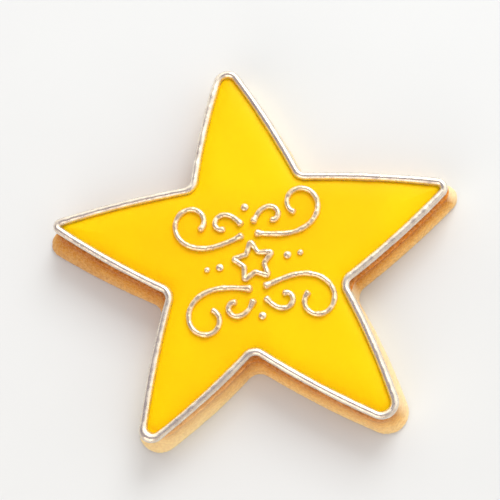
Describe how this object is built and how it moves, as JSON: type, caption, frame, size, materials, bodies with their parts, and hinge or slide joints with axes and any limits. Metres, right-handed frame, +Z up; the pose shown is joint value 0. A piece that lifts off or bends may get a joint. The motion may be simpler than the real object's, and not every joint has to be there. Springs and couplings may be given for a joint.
{
  "type": "iced sugar cookie",
  "caption": "Thick star-shaped sugar biscuit with yellow flooded icing, a silver piped border and silver piped scrolls.",
  "frame": {"origin": "centre of the footprint's bounding box, on the underside that the cookie rests on", "axes": "+Z up through the thickness, +X along the longest width, from the arm on the left to the arm on the right, +Y towards the arm at the top"},
  "size_m": [0.1396, 0.1267, 0.0158],
  "materials": {
    "biscuit": "matt baked biscuit with a fine crumb, browner just under the icing",
    "yellow_icing": "smooth set royal icing with a soft sheen",
    "silver_icing": "piped icing brushed with pearly silver lustre"
  },
  "bodies": {
    "root": {"biscuit": "biscuit", "icing_flood": "yellow_icing", "piped_border": "silver_icing"}
  },
  "joints": []
}
